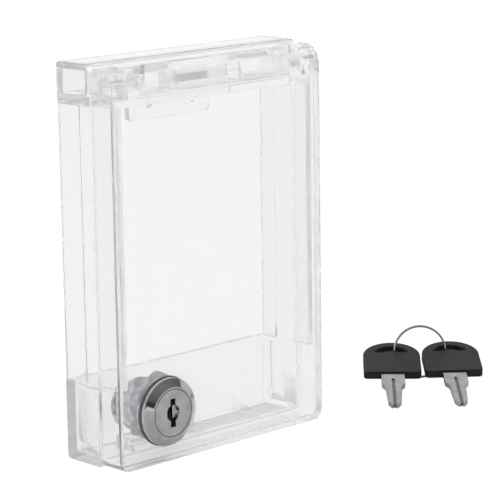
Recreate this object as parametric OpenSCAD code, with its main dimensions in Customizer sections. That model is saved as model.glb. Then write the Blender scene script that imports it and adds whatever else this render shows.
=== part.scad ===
// Thermostat lock box: a clear moulded base, a clear cover hinged at the top, a cam lock and two keys.
// X runs to the right, Y to the wall behind, Z up; the origin is under the middle of the box.

/* [Box] */
// Width of the box
box_w = 99; // [84:1:130]
// Height of the box
box_h = 142; // [118:1:180]
// Depth from the front face to the wall
box_d = 30; // [30:1:38]
// Thickness of the moulded walls
wall_t = 2.5; // [2:0.1:3]
// Set-back of the side walls between the header and the lock compartment
wall_inset = 0.4; // [0:0.1:0.8]

/* [Cover] */
// Depth of the cover tray
cover_d = 11.4; // [10.5:0.1:13]
// Thickness of the cover's front plate
plate_t = 2.4; // [2:0.1:2.8]
// Radius of the cover's lower corners
cover_corner_r = 4; // [2:0.5:6]
// Gap between the cover and the base
seam_gap = 0.3; // [0.2:0.1:0.6]
// Height of the cover's upper edge below the top of the header
cover_top_drop = 0.4; // [0.2:0.1:1]

/* [Hinge] */
// Distance of the hinge axis from the front face
pin_back = 5.8; // [5:0.1:7]
// Distance of the hinge axis below the top
pin_drop = 5.5; // [5:0.1:7]
// Radius of the hinge pins
pin_r = 1.8; // [1.2:0.1:2.2]
// Running clearance round a pin in the cover's knuckle
pin_gap = 0.05; // [0.02:0.01:0.1]
// Clearance of the lug's bore round the pin that it holds
pin_seat_gap = 0.01; // [0.01:0.01:0.03]
// Radius that the knuckle sweeps about the pin
knuckle_r = 6.8; // [6:0.1:7.5]
// Width of each cover knuckle
knuckle_w = 8.1; // [6:0.1:10]
// Width of each base lug beside its knuckle
lug_w = 5.7; // [4:0.1:8]
// Clearance kept where the cover swings past the base
swing_gap = 0.4; // [0.3:0.1:0.8]

/* [Base] */
// Height of the lock compartment
comp_h = 29; // [26:1:36]
// Thickness of the compartment floor
floor_t = 3; // [2:0.5:4]
// Height of the header bar
header_h = 14.6; // [14:0.1:18]
// Thickness of the header's floor
header_floor_t = 3.6; // [3.2:0.1:5]
// Thickness of the anti-pry flange inside each side wall
flange_t = 2.6; // [2:0.1:3.5]
// Distance of the flange's rear edge from the wall
flange_back = 9.4; // [6:0.1:12]
// Gap between the flange and the cover's side wall
flange_gap = 0.4; // [0.3:0.1:0.8]
// Distance of the header blocks' front from the front face
block_back = 6.3; // [6:0.1:8]
// Inner half-distance between the two header blocks
block_in = 14.8; // [8:0.1:20]
// Radius of the blocks' upper front edge
block_r = 8.7; // [6:0.1:10]
// Gap between a header block and the lug beside it
block_gap = 0.9; // [0.4:0.1:1.4]
// Distance between the floor gussets
gusset_pitch = 27.8; // [20:0.1:35]
// Thickness of a gusset
gusset_t = 1.6; // [1.2:0.1:2.4]
// Height of the gussets at the back wall
gusset_h = 8.7; // [6:0.1:12]
// Height of the ledge round the top of the compartment
ledge_t = 1.8; // [1.2:0.1:3]
// Depth of the compartment's rear corner posts
post_d = 2.8; // [2:0.1:5]

/* [Wall tab] */
// Width of the tab below the header
tab_w = 39; // [30:1:60]
// Length of the tab below the header
tab_l = 9.9; // [8:0.1:16]
// Distance between the two wall screws
screw_pitch = 20.6; // [14:0.1:30]
// Radius of a wall screw's hole
screw_hole_r = 1.75; // [1.5:0.05:2.25]
// Distance of the screw holes below the header
screw_drop = 4.2; // [3:0.1:6]
// Clearance round the header's back plate
back_plate_gap = 0.1; // [0.05:0.05:0.3]

/* [Lock] */
// Distance of the lock from the left edge
lock_in = 21.7; // [20:0.1:30]
// Height of the lock above the bottom
lock_up = 18.6; // [18:0.1:22]
// Radius of the lock's head
head_r = 12.2; // [11:0.1:14]
// Height of the head above the front plate
head_h = 3; // [2:0.1:4]
// Height of the head's straight rim
rim_h = 1.1; // [0.5:0.1:1.5]
// Radius where the head's bevel ends
bevel_r = 9.5; // [9.2:0.1:11]
// Radius of the threaded barrel
barrel_r = 9.5; // [8.5:0.1:10]
// Width of the barrel across its two flats
barrel_flat = 16.6; // [15:0.1:18]
// Length of the barrel from the front face of the plate
barrel_l = 18; // [16:0.5:20]
// Radius of the turning plug
plug_r = 6; // [5:0.1:6.5]
// Radius of the plug's round face
plug_face_r = 8.45; // [7:0.05:9]
// Running clearance round the plug
plug_gap = 0.05; // [0.02:0.01:0.1]
// Height of the keyway
keyway_h = 10.2; // [9.5:0.1:11]
// Width of the keyway
keyway_w = 2.3; // [2.2:0.1:3]
// Width of the nut across its flats
nut_flat = 24; // [22:0.5:27]
// Thickness of the nut
nut_t = 4.5; // [3:0.1:6]
// Thickness of the washer under the nut
washer_t = 0.7; // [0.4:0.1:1.2]
// Number of wafers in the plug
wafer_count = 6; // [3:1:6]
// Reach of the cam from the lock's axis
cam_l = 14.6; // [12:0.1:15]
// Thickness of the cam
cam_t = 2; // [1.5:0.1:3]
// Width of the cam
cam_w = 9; // [8:0.1:11]
// Width of the plug's square tail
tail_w = 6.5; // [5:0.1:7]
// Width of the strike on the floor
strike_w = 14; // [10:0.5:20]

/* [Keys] */
// Width of a key's head
bow_w = 22.5; // [20:0.1:26]
// Length of a key's head
bow_l = 26; // [22:0.1:30]
// Thickness of a key's head
bow_t = 3.2; // [2.8:0.1:4]
// Width of the hole in a key's head
hole_w = 13.5; // [12:0.1:15]
// Height of the hole in a key's head
hole_h = 5.05; // [5:0.05:6]
// Length of a key's blade outside the head
blade_l = 26; // [20:0.1:32]
// Width of a key's blade
blade_w = 6.1; // [5:0.1:7]
// Thickness of a key's blade
blade_t = 2; // [1.6:0.1:2.1]
// Width of the blade's shoulder, which the keyway takes
shoulder_w = 9.1; // [8:0.1:9.3]
// Length of the blade's shoulder
shoulder_l = 8.4; // [6:0.1:10]
// Mean radius of the split ring
ring_r = 10.2; // [9.9:0.1:11]
// Radius of the ring's wire
wire_r = 0.4; // [0.3:0.05:0.45]
// Place of the ring's middle, to the right of the box's edge
keys_right = 68.5; // [62:0.5:85]

/* [Hidden] */
$fn = 64;
fine = 0.01;

left_x = -box_w / 2;
right_x = box_w / 2;
front_y = -box_d / 2;
back_y = box_d / 2;
seam_y = front_y + cover_d;
plate_y = front_y + plate_t;
base_front_y = seam_y + seam_gap;
cover_bottom_z = seam_gap;
cover_top_z = box_h - cover_top_drop;
cover_in_x = right_x - wall_t;
flange_out_x = cover_in_x - flange_gap;
flange_in_x = flange_out_x - flange_t;
flange_front_y = plate_y + seam_gap + 0.2;
flange_rear_y = back_y - flange_back;
wall_out_x = right_x - wall_inset;
back_in_y = back_y - wall_t;

pin_y = front_y + pin_back;
pin_z = box_h - pin_drop;
knuckle_in_x = right_x - knuckle_w;
lug_out_x = knuckle_in_x - seam_gap;
lug_in_x = lug_out_x - lug_w;
lug_r = pin_back - plate_t - seam_gap;
block_out_x = lug_in_x - block_gap;
pin_l = right_x - 0.2 - lug_in_x;
// rounded profile of the cover's top corners, seen from the side
crown_y = front_y + 7.8;
crown_z = box_h - 8.6;
crown_r = crown_y - front_y;
heel_r = knuckle_r - (crown_y - pin_y) - 0.2;
heel_z = crown_z + crown_r - heel_r;

header_z = box_h - header_h;
header_floor_z = header_z + header_floor_t;
header_front_y = pin_y + knuckle_r + swing_gap;
header_in_y = header_front_y + wall_t;
header_top_in_z = box_h - wall_t;
block_front_y = front_y + block_back;
block_top_z = pin_z + pin_back - plate_t - swing_gap;
block_arc_y = block_front_y + block_r;
block_arc_z = header_floor_z + 2;
block_skin = 2.2;

lock_x = left_x + lock_in;
barrel_gap = 0.1;
face_gap = 0.15;
plug_head_t = 2.1;
nut_h0 = plate_t + washer_t;
stop_t = 1;
stop_r = 8.6;
stop_h0 = barrel_l + 0.05;
cam_h0 = stop_h0 + stop_t;
cam_washer_t = 0.8;
cam_washer_h0 = cam_h0 + cam_t;
screw_h0 = cam_washer_h0 + cam_washer_t;
screw_r = 1.55;
tail_gap = 0.03;
notch_in_r = 6.8;
tab_in_r = 7;
tab_chord = 2.8;
notch_d = 1.1;
notch_margin = 14;
quarter = 90;
wafer_t = 1;
wafer_half_w = 3.8;
wafer_pitch = 2;
wafer_h0 = 2;
spring_r = 0.6;
spring_x = wafer_half_w + spring_r + 0.05;
spring_l = 3;
strike_t = 2.5;
strike_top_z = lock_up - barrel_r - 0.8;
strike_rear_y = front_y + cam_h0 - 0.3;

bow_gap = 0.5;
hole_x = (bow_w + bow_gap) / 2;
bow_r = bow_w / 2;
bow_top = 5.65;
bow_end = bow_top - bow_l;
bow_arc_y = bow_top - bow_r;
bow_corner_r = 1.6;
hole_low = bow_top - 3.6 - hole_h;
bump_w = 6.8;
bump_h = 1.1;
root_w = 8;
root_l = 11;
root_gap = 0.02;
tip_y = bow_end - blade_l;
taper_l = 2.7;
tip_l = 2.7;
cut_count = 5;
cut_margin = 0.8;
groove_w = 1.2;
groove_d = 0.45;
groove_start = 4.4;
key_fan = 1.5;
ring_turns = 2;
ring_pitch = 2 * wire_r + 0.42;
ring_tilt = 108;
ring_steps = 48;
ring_sides = 6;
// the ring passes one hole a quarter of its pitch higher than the other
key_shift = ring_pitch / 4;
keys_turn = -43.5;
keys_y = -2;

// a split ring's wire: two turns of a helix, tilted so that it passes through both heads
function ring_point(t) =
    let (a = 360 * ring_turns * t + 90, rise = ring_pitch * (ring_turns * t - 1),
         y = ring_r * sin(a), z = rise)
    [ring_r * cos(a), y * cos(ring_tilt) + z * sin(ring_tilt), -y * sin(ring_tilt) + z * cos(ring_tilt)];
ring_path = [for (i = [0 : ring_steps]) ring_point(i / ring_steps)];
// the ring stands on the ground and holds the heads up, and the blades' tips touch the ground
ring_low = min([for (p = ring_path) p[2]]);
ring_low_y = [for (p = ring_path) if (p[2] == ring_low) p[1]][0];
tip_far_y = tip_y - key_shift;
tip_low = -blade_t / 2;
key_pitch = atan((tip_low - ring_low + wire_r) / (ring_low_y - tip_far_y));
ring_ground = min([for (p = ring_path) p[1] * sin(key_pitch) + p[2] * cos(key_pitch)]) - wire_r;
tip_ground = tip_far_y * sin(key_pitch) + tip_low * cos(key_pitch);
keys_z = 0.05 - min(ring_ground, tip_ground);

clear_plastic = [0.90, 0.93, 0.95, 0.35];
nickel = [0.62, 0.62, 0.64];
zinc = [0.72, 0.75, 0.80];
black_plastic = [0.09, 0.09, 0.10];

// extrudes a profile drawn in (y, z) along X from x0
module along_x(x0, l) {
    translate([x0, 0, 0]) rotate([90, 0, 90]) linear_extrude(l) children();
}

// extrudes a profile drawn in (x, z) towards the wall from y0
module along_y(y0, l) {
    translate([0, y0 + l, 0]) rotate([90, 0, 0]) linear_extrude(l) children();
}

// puts children on the lock's axis, h behind the face of the front plate
module on_lock(h = 0) {
    translate([lock_x, front_y + h, lock_up]) rotate([-90, 0, 0]) children();
}

module box_from(x0, x1, y0, y1, z0, z1) {
    translate([x0, y0, z0]) cube([x1 - x0, y1 - y0, z1 - z0]);
}

module both_sides() {
    children();
    mirror([1, 0, 0]) children();
}

module compartment() {
    difference() {
        box_from(left_x, right_x, base_front_y, back_y, 0, comp_h);
        box_from(-flange_out_x, flange_out_x, base_front_y - 1, back_in_y, floor_t, comp_h + 1);
    }
    both_sides() {
        // ledge along the top of the side wall
        box_from(flange_in_x, flange_out_x + fine, base_front_y, back_in_y + fine, comp_h - ledge_t, comp_h);
        // rear corner post
        box_from(flange_in_x, flange_out_x + fine, back_in_y - post_d, back_in_y + fine,
                 floor_t - fine, comp_h - fine);
        gusset(flange_out_x - gusset_t);
    }
    gusset(-gusset_t / 2);
    gusset(gusset_pitch - gusset_t / 2);
}

// sloping rib from the floor's front edge up the back wall
module gusset(x0) {
    along_x(x0, gusset_t) polygon([
        [base_front_y + 0.5, floor_t - fine], [back_in_y + fine, floor_t - fine], [back_in_y + fine, gusset_h]
    ]);
}

module side_walls() {
    both_sides() {
        box_from(flange_out_x, wall_out_x, base_front_y, back_y, comp_h - 2, header_z + 1);
        box_from(flange_in_x, flange_out_x + fine, flange_front_y, flange_rear_y, comp_h, header_z + 1);
    }
}

// side profile of a header block, with its skin taken off by inset
module block_profile(inset) {
    y0 = block_front_y + inset;
    intersection() {
        translate([y0, header_floor_z - 1]) square([header_in_y + 1 - y0, block_top_z - inset - header_floor_z + 1]);
        union() {
            translate([y0, header_floor_z - 1]) square([block_r, block_arc_z - header_floor_z + 1]);
            translate([block_arc_y, block_arc_z]) circle(block_r - inset, $fn = 96);
            translate([block_arc_y, header_floor_z - 1]) square([block_r, header_h]);
        }
    }
}

module lug_profile() {
    y0 = pin_y - lug_r;
    translate([y0, header_floor_z - 1]) square([header_front_y + 1 - y0, pin_z - header_floor_z + 1]);
    translate([pin_y, pin_z]) circle(lug_r);
    translate([pin_y, pin_z - fine]) square([header_front_y + 1 - pin_y, lug_r + fine]);
}

module header() {
    difference() {
        union() {
            box_from(left_x, right_x, header_front_y, back_y, header_floor_z - 1, box_h);
            box_from(left_x, right_x, base_front_y, back_y, header_z, header_floor_z);
            box_from(-flange_out_x, flange_out_x, flange_front_y, base_front_y + 1, header_z, header_floor_z);
            both_sides() {
                along_x(block_in, block_out_x - block_in) block_profile(0);
                along_x(lug_in_x, lug_w) lug_profile();
            }
        }
        // hollow of the bar and of its two blocks, open at the back
        box_from(-cover_in_x, cover_in_x, header_in_y, back_y + 1, header_floor_z, header_top_in_z);
        both_sides() {
            along_x(block_in + block_skin, block_out_x - block_in - 2 * block_skin)
                intersection() {
                    block_profile(block_skin);
                    translate([front_y, header_floor_z]) square([box_d, header_h]);
                }
            // seat that the knuckle turns in
            translate([lug_out_x, pin_y, pin_z]) rotate([0, 90, 0]) cylinder(r = knuckle_r + 0.3, h = knuckle_w + 1);
            translate([lug_in_x - 1, pin_y, pin_z]) rotate([0, 90, 0])
                cylinder(r = pin_r + pin_seat_gap, h = lug_w + 2);
        }
        // slot for the tab of the back plate
        box_from(-tab_w / 2 - back_plate_gap, tab_w / 2 + back_plate_gap, back_in_y - back_plate_gap, back_y + 1,
                 header_z - 1, header_floor_z + 1);
    }
}

module base_frame() {
    color(clear_plastic) union() {
        compartment();
        side_walls();
        header();
    }
}

module header_back_plate() {
    color(clear_plastic) difference() {
        union() {
            box_from(-cover_in_x + back_plate_gap, cover_in_x - back_plate_gap, back_in_y, back_y,
                     header_floor_z + back_plate_gap, header_top_in_z - back_plate_gap);
            along_y(back_in_y, wall_t) tab_outline();
        }
        for (s = [-1, 1])
            translate([s * screw_pitch / 2, back_y + 1, header_z - screw_drop]) rotate([90, 0, 0])
                cylinder(r = screw_hole_r, h = wall_t + 2);
    }
}

module tab_outline() {
    r = 2;
    x1 = tab_w / 2;
    z0 = header_z - tab_l;
    translate([-x1, z0 + r]) square([tab_w, tab_l + header_floor_t + 1 - r]);
    translate([-x1 + r, z0]) square([tab_w - 2 * r, r + fine]);
    for (s = [-1, 1]) translate([s * (x1 - r), z0 + r]) circle(r);
}

module strike() {
    color(clear_plastic) union() {
        box_from(lock_x - strike_w / 2, lock_x + strike_w / 2, strike_rear_y - strike_t, strike_rear_y,
                 floor_t, strike_top_z);
        for (s = [-1, 1])
            translate([lock_x + s * (strike_w / 2 - gusset_t / 2) - gusset_t / 2, 0, 0])
                along_x(0, gusset_t) polygon([
                    [base_front_y + 0.5, floor_t], [strike_rear_y - strike_t + fine, floor_t],
                    [strike_rear_y - strike_t + fine, strike_top_z - 0.5]
                ]);
    }
}

module hinge_pin() {
    translate([lug_in_x, pin_y, pin_z]) rotate([0, 90, 0]) {
        cylinder(r = pin_r, h = pin_l - 0.4);
        translate([0, 0, pin_l - 0.4]) cylinder(r1 = pin_r, r2 = pin_r - 0.4, h = 0.4);
    }
}

module hinge_pin_right() {
    color(clear_plastic) hinge_pin();
}

module hinge_pin_left() {
    color(clear_plastic) mirror([1, 0, 0]) hinge_pin();
}

// outline of a plate seen from the front, rounded at its two lower corners
module low_rounded(w, z0, z1, r) {
    translate([-w / 2, z0 + r]) square([w, z1 - z0 - r]);
    translate([-w / 2 + r, z0]) square([w - 2 * r, r + fine]);
    for (s = [-1, 1]) translate([s * (w / 2 - r), z0 + r]) circle(r);
}

// side outline of the cover's top corner: a rounded crown in front, a heel behind the pin
module crown_profile() {
    translate([front_y, crown_z - 40]) square([cover_d, 40]);
    intersection() {
        translate([crown_y, crown_z]) circle(crown_r, $fn = 96);
        translate([front_y, crown_z]) square([crown_r, crown_r]);
    }
    intersection() {
        translate([crown_y, heel_z]) circle(heel_r, $fn = 96);
        translate([crown_y, crown_z - 2]) square([box_d, header_h]);
    }
    translate([crown_y - fine, crown_z]) square([seam_y - crown_y + fine, heel_z - crown_z]);
}

module front_cover() {
    plate_cut_x = knuckle_in_x - lug_w - block_gap;
    color(clear_plastic) difference() {
        union() {
            difference() {
                along_y(front_y, cover_d) low_rounded(box_w, cover_bottom_z, cover_top_z, cover_corner_r);
                along_y(plate_y, cover_d)
                    low_rounded(box_w - 2 * wall_t, cover_bottom_z + plate_t, cover_top_z + 1,
                                max(cover_corner_r - wall_t, 0.5));
                // the top corners follow the crown
                both_sides() along_x(plate_cut_x, box_w) difference() {
                    translate([front_y - 1, crown_z]) square([box_d, header_h]);
                    crown_profile();
                }
            }
            both_sides() along_x(knuckle_in_x, knuckle_w) intersection() {
                crown_profile();
                translate([pin_y, pin_z]) circle(knuckle_r, $fn = 96);
            }
        }
        both_sides() translate([knuckle_in_x - 1, pin_y, pin_z]) rotate([0, 90, 0])
            cylinder(r = pin_r + pin_gap, h = knuckle_w + 2);
        on_lock(-1) linear_extrude(plate_t + 2) barrel_section(barrel_r + barrel_gap, barrel_gap);
    }
}

// round section with two flats, left and right
module barrel_section(r, grow = 0) {
    w = barrel_flat + 2 * grow;
    intersection() {
        circle(r, $fn = 96);
        translate([-w / 2, -r]) square([w, 2 * r]);
    }
}

module lock_housing() {
    face_in_r = plug_face_r + face_gap;
    color(nickel) on_lock() difference() {
        union() {
            rotate_extrude($fn = 96) polygon([
                [0, 0], [head_r, 0], [head_r, -rim_h], [head_r - 0.3, -rim_h - 0.3],
                [bevel_r, -head_h + 0.15], [bevel_r - 0.2, -head_h], [0, -head_h]
            ]);
            translate([0, 0, -fine]) linear_extrude(barrel_l + fine) barrel_section(barrel_r);
        }
        translate([0, 0, -head_h - 1]) cylinder(r = face_in_r, h = plug_head_t + 1 + face_gap, $fn = 96);
        cylinder(r = plug_r + plug_gap, h = 4 * barrel_l, center = true);
        // quarter notch that the stop washer's tab runs in
        translate([0, 0, barrel_l - notch_d]) linear_extrude(notch_d + 1) difference() {
            sector(2 * barrel_r, 180 - notch_margin, 180 + quarter + notch_margin);
            circle(notch_in_r);
        }
    }
}

module sector(r, a0, a1) {
    steps = 4;
    polygon(concat([[0, 0]], [for (i = [0 : steps]) let (a = a0 + (a1 - a0) * i / steps) [r * cos(a), r * sin(a)]]));
}

module lock_washer() {
    color(zinc) on_lock(plate_t) linear_extrude(washer_t) difference() {
        circle(nut_flat / 2 + 0.6);
        barrel_section(barrel_r + barrel_gap, barrel_gap);
    }
}

module lock_nut() {
    corner_r = nut_flat / 2 / cos(30);
    bevel = 0.9;
    color(zinc) on_lock(nut_h0) difference() {
        intersection() {
            rotate(30) cylinder(r = corner_r, h = nut_t, $fn = 6);
            rotate_extrude($fn = 96) polygon([
                [0, 0], [corner_r - bevel, 0], [corner_r, bevel / 2], [corner_r, nut_t - bevel / 2],
                [corner_r - bevel, nut_t], [0, nut_t]
            ]);
        }
        translate([0, 0, -1]) cylinder(r = barrel_r + plug_gap, h = nut_t + 2, $fn = 96);
    }
}

module lock_plug() {
    dish_r = 3;
    dish_low_r = 2.5;
    dish_d = 1.8;
    face_h = -head_h + 0.05;
    color(nickel) on_lock() difference() {
        union() {
            translate([0, 0, face_h]) cylinder(r = plug_face_r, h = plug_head_t, $fn = 96);
            translate([0, 0, face_h]) cylinder(r = plug_r, h = barrel_l - face_h);
            translate([-tail_w / 2, -tail_w / 2, barrel_l - fine])
                cube([tail_w, tail_w, cam_washer_h0 - 0.2 - barrel_l]);
        }
        translate([-keyway_w / 2, -keyway_h / 2, face_h - 1])
            cube([keyway_w, keyway_h, barrel_l - 4 - face_h]);
        translate([0, 0, face_h - fine]) cylinder(r1 = dish_r, r2 = dish_low_r, h = dish_d);
        translate([0, 0, barrel_l - 5]) cylinder(r = screw_r + plug_gap, h = 10);
        for (i = [0 : wafer_count - 1]) {
            h = wafer_h0 + i * wafer_pitch;
            translate([-wafer_half_w - 0.05, -plug_r, h - 0.05])
                cube([2 * wafer_half_w + 0.1, 2 * plug_r, wafer_t + 0.1]);
            translate([wafer_half_w - 0.1, -spring_l / 2 - 0.05, h - spring_r + wafer_t / 2 - 0.05])
                cube([spring_x + spring_r - wafer_half_w + 0.15, spring_l + 0.1, 2 * spring_r + 0.1]);
        }
    }
}

module wafer_tumblers() {
    window_h = 6.6;
    color([0.78, 0.66, 0.35]) for (i = [0 : wafer_count - 1])
        on_lock(wafer_h0 + i * wafer_pitch) linear_extrude(wafer_t) difference() {
            intersection() {
                circle(plug_r - 0.1);
                translate([-wafer_half_w, -plug_r]) square([2 * wafer_half_w, 2 * plug_r]);
            }
            translate([-keyway_w / 2 - 0.2, -window_h / 2 + (i % 2 - 0.5) * 0.8])
                square([keyway_w + 0.4, window_h]);
        }
}

module wafer_springs() {
    color(nickel) for (i = [0 : wafer_count - 1])
        on_lock(wafer_h0 + i * wafer_pitch + wafer_t / 2)
            translate([spring_x, spring_l / 2, 0]) rotate([90, 0, 0]) cylinder(r = spring_r, h = spring_l, $fn = 24);
}

module square_hole(w) {
    translate([-w / 2, -w / 2]) square(w);
}

module stop_washer() {
    color(zinc) on_lock(stop_h0) {
        linear_extrude(stop_t) difference() {
            circle(stop_r);
            square_hole(tail_w + 2 * tail_gap);
        }
        // tab bent forward into the housing's notch
        translate([0, 0, -notch_d + 0.15]) linear_extrude(notch_d - 0.15 + fine) intersection() {
            difference() {
                circle(stop_r);
                circle(tab_in_r);
            }
            translate([-stop_r, -tab_chord / 2]) square([stop_r, tab_chord]);
        }
    }
}

module cam() {
    end_r = cam_w / 2;
    hub_r = 6.8;
    color(zinc) on_lock(cam_h0) linear_extrude(cam_t) difference() {
        union() {
            circle(hub_r);
            translate([0, -end_r]) square([cam_l - end_r, cam_w]);
            translate([cam_l - end_r, 0]) circle(end_r);
        }
        square_hole(tail_w + 2 * tail_gap);
    }
}

module cam_washer() {
    teeth = 10;
    out_r = 5.3;
    color(zinc) on_lock(cam_washer_h0) linear_extrude(cam_washer_t) difference() {
        circle(out_r);
        circle(screw_r + 0.25);
        for (i = [0 : teeth - 1]) rotate(i * 360 / teeth) translate([out_r - 0.9, -0.35]) square([1.2, 0.7]);
    }
}

module cam_screw() {
    screw_head_r = 4;
    screw_head_h = 2.4;
    arm = 4.4;
    slot = 0.9;
    color(nickel) on_lock() difference() {
        union() {
            translate([0, 0, barrel_l - 4.8]) cylinder(r = screw_r, h = screw_h0 - barrel_l + 4.8 + fine);
            translate([0, 0, screw_h0]) rotate_extrude() intersection() {
                square([screw_head_r, screw_head_h]);
                translate([0, screw_head_h - 5.2]) circle(5.2);
            }
        }
        for (a = [0, quarter]) rotate(a)
            translate([-arm / 2, -slot / 2, screw_h0 + screw_head_h - 1.3]) cube([arm, slot, 2]);
    }
}

// lays the key set on the ground beside the box
module key_set_place() {
    translate([right_x + keys_right, keys_y, keys_z]) rotate([0, 0, keys_turn]) rotate([key_pitch, 0, 0]) children();
}

// places one key of the pair: side is -1 for the left key and 1 for the right one
module key_place(side) {
    key_set_place() translate([side * hole_x, side * key_shift, 0]) rotate(side * key_fan) children();
}

module bow_outline() {
    translate([0, bow_arc_y]) circle(bow_r, $fn = 96);
    translate([-bow_r, bow_end + bow_corner_r]) square([bow_w, bow_arc_y - bow_end - bow_corner_r]);
    translate([-bow_r + bow_corner_r, bow_end]) square([bow_w - 2 * bow_corner_r, bow_corner_r + fine]);
    for (s = [-1, 1]) translate([s * (bow_r - bow_corner_r), bow_end + bow_corner_r]) circle(bow_corner_r);
}

// radius of the arc that stands h high on a chord w wide
function arc_r(w, h) = (w * w / 4 + h * h) / (2 * h);

module arc_on(w, h) {
    intersection() {
        translate([0, h - arc_r(w, h)]) circle(arc_r(w, h), $fn = 96);
        translate([-w / 2, 0]) square([w, h]);
    }
}

// arched hole with a low bump in the middle of its lower edge
module bow_hole() {
    translate([0, hole_low]) difference() {
        arc_on(hole_w, hole_h);
        translate([0, -fine]) arc_on(bump_w, bump_h + fine);
    }
}

module key_bow(side) {
    color(black_plastic) key_place(side) difference() {
        translate([0, 0, -bow_t / 2]) linear_extrude(bow_t) difference() {
            bow_outline();
            bow_hole();
        }
        translate([-root_w / 2 - root_gap, bow_end - 1, -blade_t / 2 - root_gap])
            cube([root_w + 2 * root_gap, root_l + 1 + root_gap, blade_t + 2 * root_gap]);
    }
}

// outline of one side of the blade: shoulder, taper, cuts of alternating depth and a blunt tip
function blade_side(s) =
    let (w0 = shoulder_w / 2, w1 = blade_w / 2, w2 = w1 - 0.6, y1 = bow_end - shoulder_l,
         y2 = y1 - taper_l, y3 = tip_y + tip_l, pitch = (y2 - y3 - cut_margin) / cut_count)
    concat([[s * w0, bow_end], [s * w0, y1], [s * w1, y2]],
           [for (i = [0 : cut_count - 1], k = [0 : 2])
               let (w = w1 + (w2 - w1) * i / cut_count, d = 0.35 + 0.2 * ((i * (s > 0 ? 2 : 3) + 1) % 3))
               [s * (w - (k == 1 ? d : 0)), y2 - cut_margin - pitch * (i + k / 3)]],
           [[s * w2, y3], [s * (w2 - 0.9), tip_y + 1], [s * 0.7, tip_y + 0.15]]);

module key_blade(side) {
    left = blade_side(-1);
    right = blade_side(1);
    color(nickel) key_place(side) difference() {
        union() {
            translate([0, 0, -blade_t / 2]) linear_extrude(blade_t)
                polygon(concat(left, [[0, tip_y]], [for (i = [len(right) - 1 : -1 : 0]) right[i]]));
            translate([-root_w / 2, bow_end - fine, -blade_t / 2]) cube([root_w, root_l + fine, blade_t]);
        }
        // groove milled along each face and out at the tip
        for (s = [-1, 1]) translate([-groove_w / 2, tip_y - 1, s * (blade_t / 2) - groove_d])
            cube([groove_w, blade_l - groove_start + 1, 2 * groove_d]);
    }
}

module key_bow_left() { key_bow(-1); }
module key_bow_right() { key_bow(1); }
module key_blade_left() { key_blade(-1); }
module key_blade_right() { key_blade(1); }

function unit(v) = v / norm(v);

module key_ring() {
    n = len(ring_path);
    tilt_axis = [0, sin(ring_tilt), cos(ring_tilt)];
    rings = [for (i = [0 : n - 1])
        let (t = unit(ring_path[min(i + 1, n - 1)] - ring_path[max(i - 1, 0)]),
             a = unit(cross(t, tilt_axis)), b = cross(a, t))
        [for (k = [0 : ring_sides - 1]) let (w = 360 * k / ring_sides)
            ring_path[i] + wire_r * (cos(w) * a + sin(w) * b)]];
    points = [for (r = rings, p = r) p];
    sides = [for (i = [0 : n - 2], k = [0 : ring_sides - 1])
        let (a = i * ring_sides + k, b = i * ring_sides + (k + 1) % ring_sides)
        each [[a, b, b + ring_sides], [a, b + ring_sides, a + ring_sides]]];
    ends = concat([for (k = [1 : ring_sides - 2]) [0, k + 1, k]],
                  [for (k = [1 : ring_sides - 2]) let (o = (n - 1) * ring_sides) [o, o + k, o + k + 1]]);
    color(nickel) key_set_place() polyhedron(points, concat(sides, ends));
}

base_frame();
header_back_plate();
strike();
hinge_pin_left();
hinge_pin_right();
front_cover();
lock_housing();
lock_washer();
lock_nut();
lock_plug();
wafer_tumblers();
wafer_springs();
stop_washer();
cam();
cam_washer();
cam_screw();
key_bow_left();
key_blade_left();
key_bow_right();
key_blade_right();
key_ring();
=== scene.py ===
# %% [markdown]
# # A clear lock box for a thermostat
# The real object is two clear mouldings, a base on the wall and a cover hinged at its top, with a
# nickel cam lock low on the left and two keys beside it. The fixed frame already holds every solid at
# its real size. This lesson gives those solids polished edges, clear plastic, plated metal and moulded
# black plastic, adds the barrel's thread and a smooth split ring, and lights them on a white ground.

# %% Load the frame
import math

import bpy
import bmesh
import numpy as np
from mathutils import Matrix, Vector


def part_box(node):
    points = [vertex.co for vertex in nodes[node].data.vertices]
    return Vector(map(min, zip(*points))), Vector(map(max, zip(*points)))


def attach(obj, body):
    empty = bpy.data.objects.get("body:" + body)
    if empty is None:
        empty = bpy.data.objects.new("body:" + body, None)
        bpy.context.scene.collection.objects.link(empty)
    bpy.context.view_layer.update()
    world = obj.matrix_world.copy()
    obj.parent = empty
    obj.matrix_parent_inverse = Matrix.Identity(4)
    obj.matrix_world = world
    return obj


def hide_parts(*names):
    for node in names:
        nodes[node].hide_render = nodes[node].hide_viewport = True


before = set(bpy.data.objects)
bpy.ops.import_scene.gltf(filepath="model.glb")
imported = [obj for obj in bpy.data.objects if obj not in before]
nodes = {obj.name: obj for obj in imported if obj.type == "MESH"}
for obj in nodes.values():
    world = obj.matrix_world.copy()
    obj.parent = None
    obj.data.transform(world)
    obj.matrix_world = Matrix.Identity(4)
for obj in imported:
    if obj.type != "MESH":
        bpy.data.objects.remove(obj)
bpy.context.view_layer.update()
mm = 0.001

# %% [markdown]
# ## The camera
# A long lens a little above the box looks at its front from the left. Its place and angles are real
# sizes in the frame, so the edges of the box fall where the photograph has them. The three angles turn
# into the camera's own right, up and back directions, because a camera looks along its local -Z.

# %% Camera
camera_place = Vector((-0.550, -0.6075, 0.2412))
camera_yaw = math.radians(43.55)
camera_pitch = math.radians(11.82)
camera_roll = math.radians(-0.85)
camera_lens = 167.76


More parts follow.
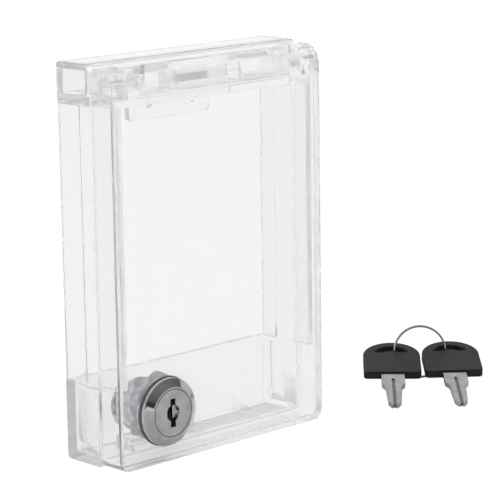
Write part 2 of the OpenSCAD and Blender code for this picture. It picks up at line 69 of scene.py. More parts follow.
def camera_matrix(place, yaw, pitch, roll):
    """The camera's pose: forward from yaw and pitch, then right and up turned about it by roll."""
    forward = Vector((math.sin(yaw) * math.cos(pitch), math.cos(yaw) * math.cos(pitch), -math.sin(pitch)))
    level = forward.cross(Vector((0, 0, 1))).normalized()
    upright = level.cross(forward)
    right = math.cos(roll) * level + math.sin(roll) * upright
    up = -math.sin(roll) * level + math.cos(roll) * upright
    turn = Matrix((right, up, -forward)).transposed()
    return Matrix.Translation(place) @ turn.to_4x4()


camera_data = bpy.data.cameras.new("camera")
camera_data.lens = camera_lens
camera_data.sensor_width = 36
camera_data.clip_start = 0.01
camera = bpy.data.objects.new("camera", camera_data)
camera.matrix_world = camera_matrix(camera_place, camera_yaw, camera_pitch, camera_roll)
bpy.context.scene.collection.objects.link(camera)
bpy.context.scene.camera = camera
print("camera at", tuple(round(c, 3) for c in camera_place), "with a lens of", camera_lens, "mm")

# %% [markdown]
# ## Node trees
# The world, the ground and every finish are small networks of nodes, and Blender's own calls for them are
# long. So a few helpers come first: one empties a tree and adds nodes with their values by name, one
# links sockets in pairs, and the others make the nodes that are used most.

# %% Node helpers


def adder(tree):
    """A function that adds a node to the tree by its kind, with properties and inputs by name."""
    def add(kind, **values):
        made = tree.nodes.new(kind)
        for key, value in values.items():
            if hasattr(made, key):
                setattr(made, key, value)
            else:
                made.inputs[key.replace("_", " ")].default_value = value
        return made

    return add


def node_tree(owner):
    """Empties the owner's node tree and gives it back with its adding function."""
    owner.use_nodes = True
    owner.node_tree.nodes.clear()
    return owner.node_tree, adder(owner.node_tree)


def join(tree, *pairs):
    """Links output sockets to input sockets, given as pairs."""
    for out, into in pairs:
        tree.links.new(out, into)


def maths(add, operation, *values):
    """A Math node. Its first input is left to be linked, and the values fill the ones after it."""
    made = add("ShaderNodeMath", operation=operation)
    for index, value in enumerate(values, 1):
        made.inputs[index].default_value = value
    return made


def ranged(add, low, high, from_low=0.3, from_high=0.7, smooth=False):
    """A Map Range node that spreads a value, such as a noise's, over low to high."""
    made = add("ShaderNodeMapRange", interpolation_type="SMOOTHSTEP" if smooth else "LINEAR")
    for name, value in (("From Min", from_low), ("From Max", from_high), ("To Min", low), ("To Max", high)):
        made.inputs[name].default_value = value
    return made


def grey_ramp(add, stops):
    """A Color Ramp of greys; the stops are pairs of place and grey."""
    made = add("ShaderNodeValToRGB")
    ramp = made.color_ramp
    for index, (place, grey) in enumerate(stops):
        stop = ramp.elements[index] if index < 2 else ramp.elements.new(place)
        stop.position = place
        stop.color = (grey, grey, grey, 1)
    return made


print("helpers", adder.__name__, node_tree.__name__, join.__name__, maths.__name__, ranged.__name__)

# %% [markdown]
# ## Light and surroundings
# Clear plastic shows itself only by what it bends into view. In an even white room its edges vanish, so
# the room is nearly white low down, and greyer overhead and in a few tall bands round it. The rays that
# the edges turn aside then come back grey, as they do in a studio with dark walls.

# %% Bounces
scene = bpy.context.scene
scene.view_settings.view_transform = "Standard"
scene.cycles.max_bounces = 32
scene.cycles.transmission_bounces = 32
scene.cycles.glossy_bounces = 12
scene.cycles.diffuse_bounces = 3
scene.cycles.transparent_max_bounces = 16
scene.cycles.caustics_reflective = False
scene.cycles.caustics_refractive = False
print("at most", scene.cycles.max_bounces, "bounces")

# %% The room's greys
world = bpy.data.worlds.new("studio")
scene.world = world
tree, add = node_tree(world)
room_greys = ((0.0, 0.96), (1.0, 0.75), (0.30, 0.94), (0.45, 0.80), (0.72, 0.72), (0.84, 0.92))
band_count, band_grey = 4, 0.72
way = add("ShaderNodeTexCoord")
split = add("ShaderNodeSeparateXYZ")
room = grey_ramp(add, room_greys)
compass = maths(add, "ARCTAN2")
bands = maths(add, "MULTIPLY", band_count)
wave = maths(add, "COSINE")
band = ranged(add, 1.0, band_grey, 0.35, 0.95)
banded = maths(add, "MULTIPLY")
join(tree, (way.outputs["Generated"], split.inputs[0]), (split.outputs["Z"], room.inputs["Fac"]),
     (split.outputs["Y"], compass.inputs[0]), (split.outputs["X"], compass.inputs[1]),
     (compass.outputs[0], bands.inputs[0]), (bands.outputs[0], wave.inputs[0]),
     (wave.outputs[0], band.inputs["Value"]), (room.outputs["Color"], banded.inputs[0]),
     (band.outputs["Result"], banded.inputs[1]))
print("room of", len(room_greys), "greys and", band_count, "bands")

# %% [markdown]
# ### The dark side
# Plated metal looks like metal only when it mirrors something dark. So a round patch of the room, in
# front and above, is dark with a soft rim, and ends a little over the ground. The lock's bevel mirrors
# it. Rays that have passed through plastic see little of the patch and only half of the room's other
# contrast, because the clear walls would turn dark otherwise.

# %% The dark side
dark_way = (0.0, -0.85, 0.53)
dark_rim, dark_foot = (0.385, 0.425), (0.07, 0.11)
dark_greys = ((0.0, 0.02), (1.0, 0.30), (0.22, 0.04), (0.32, 0.16), (0.60, 0.24))
patch_through, pale_through, pale = 0.12, 0.5, 0.95
rays = add("ShaderNodeLightPath")
front = add("ShaderNodeVectorMath", operation="DOT_PRODUCT")
front.inputs[1].default_value = dark_way
in_rim = ranged(add, 0.0, 1.0, *dark_rim, smooth=True)
above_ground = ranged(add, 0.0, 1.0, *dark_foot, smooth=True)
in_patch = maths(add, "MULTIPLY")
dark_side = grey_ramp(add, dark_greys)
less = maths(add, "MULTIPLY_ADD", patch_through - 1.0, 1.0)
dark_share = maths(add, "MULTIPLY")
room_all = add("ShaderNodeMix", data_type="RGBA")
pale_share = maths(add, "MULTIPLY", pale_through)
softer = add("ShaderNodeMix", data_type="RGBA")
softer.inputs["B"].default_value = (pale, pale, pale, 1)
join(tree, (way.outputs["Generated"], front.inputs[0]), (front.outputs["Value"], in_rim.inputs["Value"]),
     (split.outputs["Z"], above_ground.inputs["Value"]), (in_rim.outputs["Result"], in_patch.inputs[0]),
     (above_ground.outputs["Result"], in_patch.inputs[1]), (split.outputs["Z"], dark_side.inputs["Fac"]),
     (rays.outputs["Is Transmission Ray"], less.inputs[0]), (in_patch.outputs[0], dark_share.inputs[0]),
     (less.outputs[0], dark_share.inputs[1]), (dark_share.outputs[0], room_all.inputs["Factor"]),
     (banded.outputs[0], room_all.inputs["A"]), (dark_side.outputs["Color"], room_all.inputs["B"]),
     (rays.outputs["Is Transmission Ray"], pale_share.inputs[0]),
     (pale_share.outputs[0], softer.inputs["Factor"]), (room_all.outputs["Result"], softer.inputs["A"]))
print("dark side towards", dark_way)

# %% [markdown]
# ### What each ray sees
# Cycles says what kind a ray is, so each kind can have its own room. Mirrored and bent rays see the greys
# above. Matt surfaces get an even light, which keeps the fine veil on the plastic pale. The camera, where
# it looks past the floor's edge, sees one even light grey.

# %% What each ray sees
room_light = 1.0
seen = add("ShaderNodeBackground", Strength=1.0)
plain = add("ShaderNodeBackground", Strength=room_light)
backdrop = add("ShaderNodeBackground", Strength=1.0)
bent = maths(add, "MAXIMUM")
pick_bent = add("ShaderNodeMixShader")
pick_seen = add("ShaderNodeMixShader")
out = add("ShaderNodeOutputWorld")
join(tree, (softer.outputs["Result"], seen.inputs["Color"]),
     (rays.outputs["Is Glossy Ray"], bent.inputs[0]), (rays.outputs["Is Transmission Ray"], bent.inputs[1]),
     (bent.outputs[0], pick_bent.inputs["Fac"]), (plain.outputs[0], pick_bent.inputs[1]),
     (seen.outputs[0], pick_bent.inputs[2]),
     (rays.outputs["Is Camera Ray"], pick_seen.inputs["Fac"]), (pick_bent.outputs[0], pick_seen.inputs[1]),
     (backdrop.outputs[0], pick_seen.inputs[2]), (pick_seen.outputs[0], out.inputs["Surface"]))
print("world of", len(tree.nodes), "nodes")

# %% [markdown]
# ### Soft lamps
# Two square lamps add the soft shadows, a strong one from the left and a weaker one from the right.
# Mirrors and clear walls don't show them, because a bright square in a wall would look like a fault.

# %% Lamps


def soft_lamp(name, place, aim, size, power):
    """A square area lamp at a place, turned towards its aim."""
    data = bpy.data.lights.new(name, "AREA")
    data.shape = "SQUARE"
    data.size = size
    data.energy = power
    lamp = bpy.data.objects.new(name, data)
    lamp.location = place
    lamp.rotation_euler = (Vector(aim) - Vector(place)).to_track_quat("-Z", "Y").to_euler()
    lamp.visible_glossy = False
    lamp.visible_transmission = False
    scene.collection.objects.link(lamp)
    return lamp


middle = (0.0, 0.0, 0.07)
soft_lamp("key_lamp", (-0.9, -0.7, 1.1), middle, 0.6, 6)
soft_lamp("fill_lamp", (1.0, -0.8, 0.7), middle, 0.8, 3)
print("lamps aimed at", middle)

# %% [markdown]
# ### The ground
# The photograph's ground is plain white. A floor that is only lit comes out grey, so this one also gives
# off light, and each kind of ray sees its own share of that: most for the camera, two thirds through the
# plastic, which greys the window a little, and hardly any in the metal. The matt rest takes the shadows.

# %% Floor
floor_half, floor_grey, floor_glow = 6.0, 0.55, 1.15
glow_shares = {"Is Camera Ray": 0.86, "Is Transmission Ray": 0.66, "Is Glossy Ray": 0.08}
floor_mesh = bpy.data.meshes.new("floor")
corners = [(-floor_half, -floor_half, 0), (floor_half, -floor_half, 0), (floor_half, floor_half, 0),
           (-floor_half, floor_half, 0)]
floor_mesh.from_pydata(corners, [], [(0, 1, 2, 3)])
floor = bpy.data.objects.new("floor", floor_mesh)
scene.collection.objects.link(floor)
floor_material = bpy.data.materials.new("white_sweep")
tree, add = node_tree(floor_material)
rays = add("ShaderNodeLightPath")
matt = add("ShaderNodeBsdfDiffuse", Color=(floor_grey, floor_grey, floor_grey, 1))
glow = add("ShaderNodeEmission", Color=(1, 1, 1, 1), Strength=floor_glow)
shares = [maths(add, "MULTIPLY", share) for share in glow_shares.values()]
for ray, share in zip(glow_shares, shares):
    join(tree, (rays.outputs[ray], share.inputs[0]))
either, any_of = maths(add, "MAXIMUM"), maths(add, "MAXIMUM")
mix = add("ShaderNodeMixShader")
out = add("ShaderNodeOutputMaterial")
join(tree, (shares[0].outputs[0], either.inputs[0]), (shares[1].outputs[0], either.inputs[1]),
     (either.outputs[0], any_of.inputs[0]), (shares[2].outputs[0], any_of.inputs[1]),
     (any_of.outputs[0], mix.inputs["Fac"]), (matt.outputs[0], mix.inputs[1]),
     (glow.outputs[0], mix.inputs[2]), (mix.outputs[0], out.inputs["Surface"]))
floor_mesh.materials.append(floor_material)
print("floor", 2 * floor_half, "m wide")

# %% [markdown]
# ## Fine marks that every finish shares
# No surface is perfectly even. Handling leaves hair-fine scratches in all directions, and a mould or a
# plating bath leaves a faint grain. Two node groups make them once, with named inputs, so each material
# can place them at its own size. Both read Object coordinates, so the marks stay on the piece.

# %% Scratches


def new_group(name, inputs, outputs):
    """A shader node group with float inputs, given with their first values, and float outputs."""
    group = bpy.data.node_groups.new(name, "ShaderNodeTree")
    for label, value in inputs:
        socket = group.interface.new_socket(label, in_out="INPUT", socket_type="NodeSocketFloat")
        socket.default_value = value
    for label in outputs:
        group.interface.new_socket(label, in_out="OUTPUT", socket_type="NodeSocketFloat")
    return group, adder(group), group.nodes.new("NodeGroupInput"), group.nodes.new("NodeGroupOutput")


scratches, add, source, sink = new_group("fine_scratches", (("Scale", 300.0), ("Cut", 0.72)), ("Mask",))
place = add("ShaderNodeTexCoord")
hair_turns = ((0.3, 0.2, 0.5), (1.1, -0.4, 2.0), (-0.7, 0.9, 1.2))
hair_stretch = (1.0, 0.02, 1.0)
hairs = []
for angles in hair_turns:
    stretched = add("ShaderNodeMapping")
    stretched.inputs["Rotation"].default_value = angles
    stretched.inputs["Scale"].default_value = hair_stretch
    hair = add("ShaderNodeTexNoise", noise_dimensions="3D", Detail=2.0)
    join(scratches, (place.outputs["Object"], stretched.inputs["Vector"]),
         (stretched.outputs["Vector"], hair.inputs["Vector"]), (source.outputs["Scale"], hair.inputs["Scale"]))
    hairs.append(hair)
first, second = maths(add, "MAXIMUM"), maths(add, "MAXIMUM")
above = ranged(add, 0.0, 1.0, from_high=0.9, smooth=True)
join(scratches, (hairs[0].outputs["Fac"], first.inputs[0]), (hairs[1].outputs["Fac"], first.inputs[1]),
     (first.outputs[0], second.inputs[0]), (hairs[2].outputs["Fac"], second.inputs[1]),
     (second.outputs[0], above.inputs["Value"]), (source.outputs["Cut"], above.inputs["From Min"]),
     (above.outputs["Result"], sink.inputs["Mask"]))
print("group", scratches.name, len(scratches.nodes), "nodes")

# %% Grain
grain_inputs = (("Scale", 900.0), ("Waves", 90.0))
grain, add, source, sink = new_group("moulded_grain", grain_inputs, ("Fine", "Broad"))
place = add("ShaderNodeTexCoord")
fine = add("ShaderNodeTexNoise", noise_dimensions="3D", Detail=4.0)
broad = add("ShaderNodeTexNoise", noise_dimensions="3D", Detail=1.0)
join(grain, (place.outputs["Object"], fine.inputs["Vector"]), (place.outputs["Object"], broad.inputs["Vector"]),
     (source.outputs["Scale"], fine.inputs["Scale"]), (source.outputs["Waves"], broad.inputs["Scale"]),
     (fine.outputs["Fac"], sink.inputs["Fine"]), (broad.outputs["Fac"], sink.inputs["Broad"]))
print("group", grain.name, len(grain.nodes), "nodes")


def grouped(add, group, **values):
    """Places a node group with its own values."""
    made = add("ShaderNodeGroup")
    made.node_tree = group
    for key, value in values.items():
        made.inputs[key].default_value = value
    return made


# %% [markdown]
# ## Clear plastic
# The mouldings are clear and polished. A Transmission Weight near one with the real index of refraction
# bends and mirrors light as the plastic does. A small share scatters instead, the veil of fine marks and
# dust that keeps a real clear box from looking like empty glass, and a thin absorption inside greys the
# long paths along a wall. The broad waves are the flow of the mould, and the scratches are from handling.

# %% Clear plastic
polish, plastic_scuff = (0.01, 0.045), 0.12
shadow_tint = (0.98, 0.982, 0.985, 1)


def clear_plastic(name, veil, colour, depth):
    """Glass-like plastic: its surface bends light and scatters a share of it, the veil, and its inside
    takes a little of it each metre. Rays from lamps and matt surfaces pass straight through."""
    material = bpy.data.materials.new(name)
    tree, add = node_tree(material)
    skin = add("ShaderNodeBsdfPrincipled", IOR=1.49)
    skin.inputs["Base Color"].default_value = (1, 1, 1, 1)
    skin.inputs["Transmission Weight"].default_value = 1.0 - veil
    marks = grouped(add, scratches, Scale=900.0, Cut=0.74)
    flow = grouped(add, grain, Scale=700.0, Waves=70.0)
    dull = ranged(add, *polish)
    scuffed = maths(add, "MULTIPLY_ADD", plastic_scuff)
    waves = add("ShaderNodeBump", Strength=0.06, Distance=0.05 * mm)
    inside = add("ShaderNodeVolumeAbsorption", Color=(*colour, 1), Density=depth)
    rays = add("ShaderNodeLightPath")
    soft = maths(add, "MAXIMUM")
    through = add("ShaderNodeBsdfTransparent", Color=shadow_tint)
    mix = add("ShaderNodeMixShader")
    out = add("ShaderNodeOutputMaterial")
    join(tree, (flow.outputs["Fine"], dull.inputs["Value"]), (marks.outputs["Mask"], scuffed.inputs[0]),
         (dull.outputs["Result"], scuffed.inputs[2]), (scuffed.outputs[0], skin.inputs["Roughness"]),
         (flow.outputs["Broad"], waves.inputs["Height"]), (waves.outputs["Normal"], skin.inputs["Normal"]),
         (rays.outputs["Is Shadow Ray"], soft.inputs[0]), (rays.outputs["Is Diffuse Ray"], soft.inputs[1]),
         (soft.outputs[0], mix.inputs["Fac"]), (skin.outputs[0], mix.inputs[1]),
         (through.outputs[0], mix.inputs[2]), (mix.outputs[0], out.inputs["Surface"]),
         (inside.outputs[0], out.inputs["Volume"]))
    return material


clear = clear_plastic("clear_moulding", veil=0.12, colour=(0.49, 0.50, 0.51), depth=3)
print("material", clear.name)

# %% [markdown]
# ## Rounded edges
# No moulded or turned edge is perfectly sharp: it has a small radius that catches a line of light. The
# frame's meshes have sharp edges, so each piece is copied, its doubled points are merged, its flat
# faces are joined, and a narrow Bevel runs along every outward corner. The box's own outline has a wider
# radius, as in the photograph. Where the corners stand closer together than two bevels, at the tips of
# the key blades, the bevels would cross, so the short ones there stay sharp.

# %% Rounded copies
box_half_w, box_half_d, box_h = 49.5, 15.0, 142.0
box_side, box_back, box_top = (value * mm for value in (box_half_w, box_half_d, box_h))
side_slack, exact = 0.45 * mm, 1e-5
tip_reach, short = 0.7 * mm, 5 * mm
same_point = 2e-6


def outline(one):
    """Whether an edge lies on two of the box's outer faces: a side, the back, and the top or bottom."""
    ends = [corner.co for corner in one.verts]
    on_side = all(abs(abs(end.x) - box_side) < side_slack for end in ends)
    on_back = all(abs(end.y - box_back) < exact for end in ends)
    on_level = all(min(abs(end.z), abs(end.z - box_top)) < exact for end in ends)
    return on_side + on_back + on_level >= 2


def merged(node):
    """A copy of a frame mesh, ready to edit, with merged points and joined flat faces."""
    made = bmesh.new()
    made.from_mesh(nodes[node].data)
    bmesh.ops.remove_doubles(made, verts=made.verts, dist=same_point)
    bmesh.ops.dissolve_limit(made, angle_limit=math.radians(1), verts=made.verts, edges=made.edges,
                             delimit={"NORMAL"})
    return made


def apply_modifiers(piece):
    """Puts a piece's evaluated mesh in the place of its own."""
    baked = bpy.data.meshes.new_from_object(piece.evaluated_get(bpy.context.evaluated_depsgraph_get()))
    piece.modifiers.clear()
    piece.data = baked


def rounded(node, body, material, width, steps=2, angle=25, outer=None, sharp_end=None):
    """A finished copy of a node. Its outward corners, where the two faces turn away from each other by
    more than the angle, get a bevel of the width, and those on the box's outline one of the outer
    width. Short ones at the far end of a direction stay sharp. Flat sides keep flat shading."""
    outer = outer or width
    made = merged(node)
    corner = made.edges.layers.float.new("bevel_weight_edge")
    along = Vector(sharp_end or (0, 0, 0))
    far = max(point.co.dot(along) for point in made.verts) - tip_reach if sharp_end else math.inf
    for one in made.edges:
        at_end = one.calc_length() < short and any(point.co.dot(along) > far for point in one.verts)
        if one.is_manifold and not at_end and one.calc_face_angle_signed() > math.radians(angle):
            one[corner] = 1.0 if outline(one) else width / outer
    mesh = bpy.data.meshes.new(node + "_finished")
    made.to_mesh(mesh)
    made.free()
    piece = bpy.data.objects.new(node + "_finished", mesh)
    scene.collection.objects.link(piece)
    bevel = piece.modifiers.new("edge_radius", "BEVEL")
    bevel.width = outer
    bevel.segments = steps
    bevel.limit_method = "WEIGHT"
    bevel.use_clamp_overlap = False
    bevel.miter_outer = "MITER_ARC"
    apply_modifiers(piece)
    piece.data.polygons.foreach_set("use_smooth", np.ones(len(piece.data.polygons), bool))
    piece.data.set_sharp_from_angle(angle=math.radians(50))
    flat_sides = piece.modifiers.new("flat_sides", "WEIGHTED_NORMAL")
    flat_sides.keep_sharp = True
    flat_sides.weight = 100
    apply_modifiers(piece)
    piece.data.materials.clear()
    piece.data.materials.append(material)
    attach(piece, body)
    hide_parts(node)
    return piece


# %% Clear pieces
edge, outer_edge = 0.35 * mm, 1.2 * mm
clear_nodes = {"base_frame": "base", "header_back_plate": "base", "strike": "base",
               "hinge_pin_left": "base", "hinge_pin_right": "base", "front_cover": "cover"}
for node, body in clear_nodes.items():
    outer = outer_edge if node == "base_frame" else edge
    piece = rounded(node, body, clear, edge, steps=3 if node == "base_frame" else 2, outer=outer)
    print(node, len(piece.data.polygons), "faces")

# %% [markdown]
# ## Where the keys lie
# The ring's wire follows a helix that is tilted so that it passes through both key heads. The key set is
# pitched until ring and blade tips touch the ground. The metal needs this place for the blades' lines and
# for the painted shade in their grooves, and the ring's own piece needs it for its mesh.

# %% The key set's place
keys_turn = math.radians(-43.5)
keys_right, keys_front, clear_of_ground = 68.5, -2.0, 0.05
ring_r, wire_r, ring_tilt, ring_turns = 10.2, 0.4, math.radians(108), 2
bow_top, bow_l, blade_l, blade_half = 5.65, 26, 26, 1.0
ring_pitch = 2 * wire_r + 0.42
tip_far = bow_top - bow_l - blade_l - ring_pitch / 4


def ring_path(count):
    """Two turns: (r cos a, r sin a, rise), tilted about X, where rise goes evenly from -pitch to pitch."""
    t = np.linspace(0, 1, count)
    a = 2 * math.pi * ring_turns * t + math.pi / 2
    y, z = ring_r * np.sin(a), ring_pitch * (ring_turns * t - 1)
    return np.stack([ring_r * np.cos(a), y * math.cos(ring_tilt) + z * math.sin(ring_tilt),
                     -y * math.sin(ring_tilt) + z * math.cos(ring_tilt)], axis=-1)


def keys_matrix():
    """The key set's place: pitched until the ring and the blades' tips touch the ground, then turned."""
    coarse = ring_path(49)
    lowest = coarse[np.argmin(coarse[:, 2])]
    pitch = math.atan((-blade_half - lowest[2] + wire_r) / (lowest[1] - tip_far))
    ring_ground = (coarse[:, 1] * math.sin(pitch) + coarse[:, 2] * math.cos(pitch)).min() - wire_r
    tip_ground = tip_far * math.sin(pitch) - blade_half * math.cos(pitch)
    height = clear_of_ground - min(ring_ground, tip_ground)
    return (Matrix.Translation((box_half_w + keys_right, keys_front, height))
            @ Matrix.Rotation(keys_turn, 4, "Z") @ Matrix.Rotation(pitch, 4, "X"))


keys_place = np.array(keys_matrix())
print("keys stand", round(keys_place[2, 3], 2), "mm up")

# %% [markdown]
# ## Plated metal
# The lock's head was turned on a lathe and plated, so fine rings run round its axis. The blades were
# milled along their length, and the nut, washers and cam are zinc-plated stampings. One material function
# takes the direction of those lines: it measures a distance from an axis, or a place across the blades,
# and a noise of that one number gives the lines. A mask paints shade into the colour: near-black in the
# narrow gap round the plug and dark grey on the floors of the blades' grooves. The barrel behind the head is
# left satin.

# %% Where the marks are
lock_in, lock_up = 21.7, 18.6
lock_axis = Vector((-box_half_w + lock_in, 0.0, lock_up)) * mm
front_y = -box_half_d
plate_y = front_y * mm
gap_r, gap_rim = 8.52 * mm, (0.10 * mm, 0.16 * mm)
# Painted shade: near-black in the gap round the plug, dark grey on the floors of the blades' grooves.
gap_shade_colour, groove_shade_colour = (0.02, 0.02, 0.02, 1), (0.10, 0.10, 0.10, 1)


def line_number(tree, add, around, turn):
    """The number that the tool's lines follow: the distance from the lock's axis in X and Z, or, for a
    piece turned about Z, the place across it."""
    place = add("ShaderNodeTexCoord")
    moved = add("ShaderNodeMapping", vector_type="POINT")
    split = add("ShaderNodeSeparateXYZ")
    if around:
        moved.inputs["Location"].default_value = -lock_axis
        moved.inputs["Scale"].default_value = (1, 0, 1)
        size = add("ShaderNodeVectorMath", operation="LENGTH")
        join(tree, (place.outputs["Object"], moved.inputs["Vector"]), (moved.outputs[0], size.inputs[0]))
        return size.outputs["Value"]
    moved.inputs["Rotation"].default_value = (0, 0, turn)
    join(tree, (place.outputs["Object"], moved.inputs["Vector"]), (moved.outputs[0], split.inputs[0]))
    return split.outputs["X"]


def gap_mask(tree, add, line):
    """1 in the narrow gap between plug and housing, which lies at one distance from the lock's axis; there the
    colour is darkened as painted shade.
    """
    off_gap, off_size = maths(add, "SUBTRACT", gap_r), maths(add, "ABSOLUTE")
    in_gap = ranged(add, 1.0, 0.0, *gap_rim)
    join(tree, (line, off_gap.inputs[0]), (off_gap.outputs[0], off_size.inputs[0]),
         (off_size.outputs[0], in_gap.inputs["Value"]))
    return in_gap.outputs["Result"]


def barrel_satin(tree, add):
    """The roughness that is added behind the front plate's face, where the barrel starts."""
    place = add("ShaderNodeTexCoord")
    depth_in = add("ShaderNodeSeparateXYZ")
    behind = ranged(add, 0.0, 0.35, plate_y - 0.1 * mm, plate_y + 0.1 * mm)
    join(tree, (place.outputs["Object"], depth_in.inputs[0]), (depth_in.outputs["Y"], behind.inputs["Value"]))
    return behind.outputs["Result"]


def groove_mask(tree, add):
    """1 where a face looks along the keys' own up direction but lies nearer their middle plane than the
    blades' flat sides do: that is the floor of a groove, where the colour is darkened as painted shade."""
    up = Vector(keys_place[:3, 2])
    place = add("ShaderNodeTexCoord")
    level, looks = (add("ShaderNodeVectorMath", operation="DOT_PRODUCT") for side in range(2))
    level.inputs[1].default_value = looks.inputs[1].default_value = up
    shifted = maths(add, "SUBTRACT", up.dot(keys_place[:3, 3]) * mm)
    away, facing, both = maths(add, "ABSOLUTE"), maths(add, "ABSOLUTE"), maths(add, "MULTIPLY")
    inside = ranged(add, 0.8, 0.0, (blade_half - 0.35) * mm, (blade_half - 0.15) * mm)
    flat = ranged(add, 0.0, 1.0, 0.90, 0.97)
    join(tree, (place.outputs["Object"], level.inputs[0]), (place.outputs["Normal"], looks.inputs[0]),
         (level.outputs["Value"], shifted.inputs[0]), (shifted.outputs[0], away.inputs[0]),
         (away.outputs[0], inside.inputs["Value"]), (looks.outputs["Value"], facing.inputs[0]),
         (facing.outputs[0], flat.inputs["Value"]), (inside.outputs["Result"], both.inputs[0]),
         (flat.outputs["Result"], both.inputs[1]))
    return both.outputs[0]

# %% Metal


def plated(name, colour, roughness, around=False, turn=0.0, lines=9000.0, depth=0.25, blotch=0.12,
           grooved=False):
    """Plated metal with tool lines, blotches in its colour, a grain and hair-fine scratches. Around the
    lock's axis it has painted shade in the gap round the plug and the satin barrel, and a grooved one has
    painted shade on its grooves' floors."""
    material = bpy.data.materials.new(name)
    tree, add = node_tree(material)
    skin = add("ShaderNodeBsdfPrincipled", Metallic=1.0)
    tool = add("ShaderNodeTexNoise", noise_dimensions="1D", Scale=lines, Detail=3.0)
    marks = grouped(add, scratches, Scale=1500.0, Cut=0.70)
    bath = grouped(add, grain, Scale=2500.0, Waves=260.0)
    tint = add("ShaderNodeMix", data_type="RGBA")
    tint.inputs["A"].default_value = (*((1 - blotch) * c for c in colour), 1)
    tint.inputs["B"].default_value = (*((1 + blotch / 2) * c for c in colour), 1)
    spread = ranged(add, 0.0, 1.0, 0.35, 0.65)
    # This mix paints shade: the colour goes near-black in the plug's gap or dark grey on the grooves' floors.
    painted_shade = add("ShaderNodeMix", data_type="RGBA")
    painted_shade.inputs["B"].default_value = groove_shade_colour if grooved else gap_shade_colour
    painted_shade.inputs["Factor"].default_value = 0.0
    patchy = ranged(add, roughness - 0.05, roughness + 0.07)
    scuffed = maths(add, "MULTIPLY_ADD", 0.2)
    satin = maths(add, "ADD", 0.0)
    height = maths(add, "MULTIPLY_ADD", 0.35)
    fine_bump = add("ShaderNodeBump", Strength=depth, Distance=0.01 * mm)
    out = add("ShaderNodeOutputMaterial")
    line = line_number(tree, add, around, turn)
    # Painted shade in the narrow gap round the plug.
    if around:
        join(tree, (gap_mask(tree, add, line), painted_shade.inputs["Factor"]),
             (barrel_satin(tree, add), satin.inputs[1]))
    # Painted shade on the floors of the blades' grooves.
    if grooved:
        join(tree, (groove_mask(tree, add), painted_shade.inputs["Factor"]))
    join(tree, (line, tool.inputs["W"]), (bath.outputs["Broad"], spread.inputs["Value"]),
         (spread.outputs["Result"], tint.inputs["Factor"]), (tint.outputs["Result"], painted_shade.inputs["A"]),
         (painted_shade.outputs["Result"], skin.inputs["Base Color"]), (tool.outputs["Fac"], patchy.inputs["Value"]),
         (marks.outputs["Mask"], scuffed.inputs[0]), (patchy.outputs["Result"], scuffed.inputs[2]),
         (scuffed.outputs[0], satin.inputs[0]), (satin.outputs[0], skin.inputs["Roughness"]),
         (bath.outputs["Fine"], height.inputs[0]), (tool.outputs["Fac"], height.inputs[2]),
         (height.outputs[0], fine_bump.inputs["Height"]), (fine_bump.outputs["Normal"], skin.inputs["Normal"]),
         (skin.outputs[0], out.inputs["Surface"]))
    return material


turned = plated("turned_nickel", (0.57, 0.57, 0.58), 0.09, around=True)
milled = plated("milled_nickel", (0.50, 0.50, 0.50), 0.24, turn=-keys_turn, lines=5000.0, depth=0.4,
                grooved=True)
zinc = plated("zinc_plate", (0.42, 0.44, 0.48), 0.09, lines=3000.0, depth=0.35, blotch=0.6)
brass = plated("brass_wafer", (0.78, 0.62, 0.30), 0.32, lines=4000.0)
print("metals", turned.name, milled.name, zinc.name, brass.name)

# %% [markdown]
# ### The metal pieces
# Each turned, stamped or milled piece gets a finished copy with its own body, metal and width of edge.
# The wafers and their springs sit inside the plug, so the frame's own meshes serve, with a material.

# %% Metal pieces
metal_nodes = {"lock_housing": ("cover", turned, 0.10), "lock_washer": ("cover", zinc, 0.08),
               "lock_nut": ("cover", zinc, 0.15), "lock_plug": ("lock_core", turned, 0.06),
               "stop_washer": ("lock_core", zinc, 0.08), "cam": ("lock_core", zinc, 0.15),
               "cam_screw": ("lock_core", turned, 0.08), "cam_washer": ("lock_core", zinc, 0.05),
               "key_blade_left": ("key_set", milled, 0.12), "key_blade_right": ("key_set", milled, 0.12)}
blade_way = (math.sin(keys_turn), -math.cos(keys_turn), 0.0)
for node, (body, material, width) in metal_nodes.items():
    rounded(node, body, material, width * mm, sharp_end=blade_way if "blade" in node else None)
for node, material in (("wafer_tumblers", brass), ("wafer_springs", zinc)):
    nodes[node].data.materials.clear()
    nodes[node].data.materials.append(material)
print("metal pieces", len(metal_nodes) + 2)

# %% [markdown]
# ## The barrel's thread
# The nut runs on a fine thread, cut on the two round sides of the barrel and missing on its flats. A
# profile carried along a helix would leave a seam at each flat. A sleeve is simpler: a grid of angle and
# length, whose radius is a triangle wave of the helix, held under the flats.

# %% Thread


def surface(name, points, faces, material, body):
    """A smooth mesh object at the origin from points in millimetres, riding on a body."""
    mesh = bpy.data.meshes.new(name)
    mesh.from_pydata(np.asarray(points) * mm, [], np.asarray(faces).tolist())
    mesh.polygons.foreach_set("use_smooth", np.ones(len(mesh.polygons), bool))
    mesh.materials.append(material)
    piece = bpy.data.objects.new(name, mesh)
    scene.collection.objects.link(piece)
    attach(piece, body)
    return piece


def grid_faces(rows, around):
    """Quads of a grid whose rows close on themselves, facing out when the rows run away from the eye."""
    row, column = np.meshgrid(np.arange(rows - 1), np.arange(around), indexing="ij")
    here, beside = row * around + column, row * around + (column + 1) % around
    return np.stack([here, here + around, beside + around, beside], axis=-1).reshape(-1, 4)


barrel_r, barrel_flat, thread_pitch, thread_depth = 9.5, 16.6, 1.0, 0.3
sleeve_start, sleeve_end, sleeve_gap, fade_l = 7.65, 16.8, 0.02, 0.4


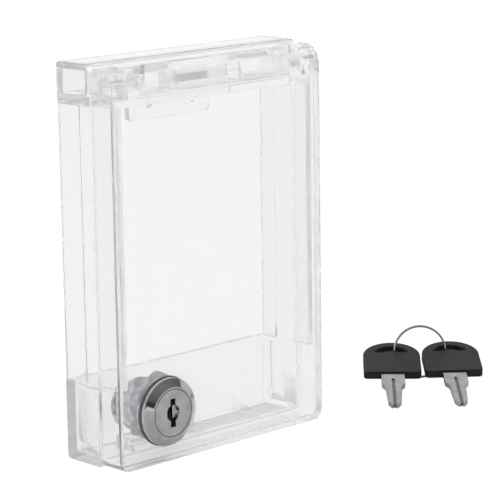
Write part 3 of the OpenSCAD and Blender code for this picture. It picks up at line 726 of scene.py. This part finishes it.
def thread_sleeve(start, end):
    """radius = barrel + depth x |triangle(length / pitch - angle / turn)|, and never past the flats."""
    rows, around = 168, 180
    length, angle = np.meshgrid(np.linspace(start, end, rows),
                                np.linspace(0, 2 * math.pi, around, endpoint=False), indexing="ij")
    phase = (length / thread_pitch - angle / (2 * math.pi)) % 1.0
    fade = np.clip(np.minimum(length - start, end - length) / fade_l, 0, 1)
    radius = barrel_r + sleeve_gap + thread_depth * fade * (1 - np.abs(2 * phase - 1))
    flat = (barrel_flat / 2 + sleeve_gap) / np.maximum(np.abs(np.cos(angle)), 1e-6)
    radius = np.minimum(radius, flat)
    x = lock_axis.x / mm + radius * np.cos(angle)
    z = lock_axis.z / mm + radius * np.sin(angle)
    return np.stack([x, front_y + length, z], axis=-1).reshape(-1, 3), grid_faces(rows, around)


points, faces = thread_sleeve(sleeve_start, sleeve_end)
surface("barrel_thread", points, faces, zinc, "cover")
print("thread", len(faces), "faces")

# %% [markdown]
# ## The split ring
# The wire makes two turns of a helix, tilted so that it passes through both key heads. The frame's ring
# has few sides, which is enough for weight and touch. Here the same rule gives a smooth wire: a circle
# carried along the helix, with its two directions square to the path.

# %% Ring


def wire(path, radius, sides=14):
    """A circle carried along a path: each ring is square to the path, with one direction kept near the
    helix's axis so that it doesn't twist."""
    along = np.gradient(path, axis=0)
    along /= np.linalg.norm(along, axis=1, keepdims=True)
    axis = np.array([0.0, math.sin(ring_tilt), math.cos(ring_tilt)])
    out = np.cross(along, axis)
    out /= np.linalg.norm(out, axis=1, keepdims=True)
    up = np.cross(out, along)
    w = np.linspace(0, 2 * math.pi, sides, endpoint=False)
    sides_out = np.cos(w)[None, :, None] * out[:, None] + np.sin(w)[None, :, None] * up[:, None]
    return (path[:, None] + radius * sides_out).reshape(-1, 3), grid_faces(len(path), sides)


points, faces = wire(ring_path(360), wire_r)
points = points @ keys_place[:3, :3].T + keys_place[:3, 3]
ring = surface("split_ring", points, faces, milled, "key_set")
closed = bmesh.new()
closed.from_mesh(ring.data)
bmesh.ops.holes_fill(closed, edges=closed.edges)
bmesh.ops.recalc_face_normals(closed, faces=closed.faces)
closed.to_mesh(ring.data)
closed.free()
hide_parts("key_ring")
low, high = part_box("key_ring")
print("ring", len(faces), "faces, lowest", round(float(points[:, 2].min()), 3),
      "frame's", round(low[2] / mm, 3))

# %% [markdown]
# ## Black plastic
# The key heads are a hard black plastic from a fine-textured mould. It isn't truly black: a dark grey
# with a soft sheen, a grain a few tenths of a millimetre wide, and scratches that catch a little light.

# %% Black plastic


def black_plastic(name):
    """Dark grey moulded plastic: grain in its bump and gloss, scratches slightly paler."""
    material = bpy.data.materials.new(name)
    tree, add = node_tree(material)
    skin = add("ShaderNodeBsdfPrincipled")
    skin.inputs["Specular IOR Level"].default_value = 0.3
    marks = grouped(add, scratches, Scale=700.0, Cut=0.70)
    skin_grain = grouped(add, grain, Scale=3200.0, Waves=220.0)
    colour = add("ShaderNodeMix", data_type="RGBA")
    colour.inputs["A"].default_value = (0.008, 0.008, 0.009, 1)
    colour.inputs["B"].default_value = (0.024, 0.024, 0.026, 1)
    pale_mark = maths(add, "MULTIPLY_ADD", 0.5)
    cloudy = ranged(add, 0.0, 0.35)
    gloss = ranged(add, 0.38, 0.56)
    bump = add("ShaderNodeBump", Strength=0.5, Distance=0.02 * mm)
    out = add("ShaderNodeOutputMaterial")
    join(tree, (skin_grain.outputs["Broad"], cloudy.inputs["Value"]),
         (marks.outputs["Mask"], pale_mark.inputs[0]), (cloudy.outputs["Result"], pale_mark.inputs[2]),
         (pale_mark.outputs[0], colour.inputs["Factor"]), (colour.outputs["Result"], skin.inputs["Base Color"]),
         (skin_grain.outputs["Fine"], gloss.inputs["Value"]),
         (gloss.outputs["Result"], skin.inputs["Roughness"]),
         (skin_grain.outputs["Fine"], bump.inputs["Height"]), (bump.outputs["Normal"], skin.inputs["Normal"]),
         (skin.outputs[0], out.inputs["Surface"]))
    return material


black, bow_edge = black_plastic("black_moulding"), 0.28 * mm
for node in ("key_bow_left", "key_bow_right"):
    rounded(node, "key_set", black, bow_edge, steps=3)
print("key heads", black.name)
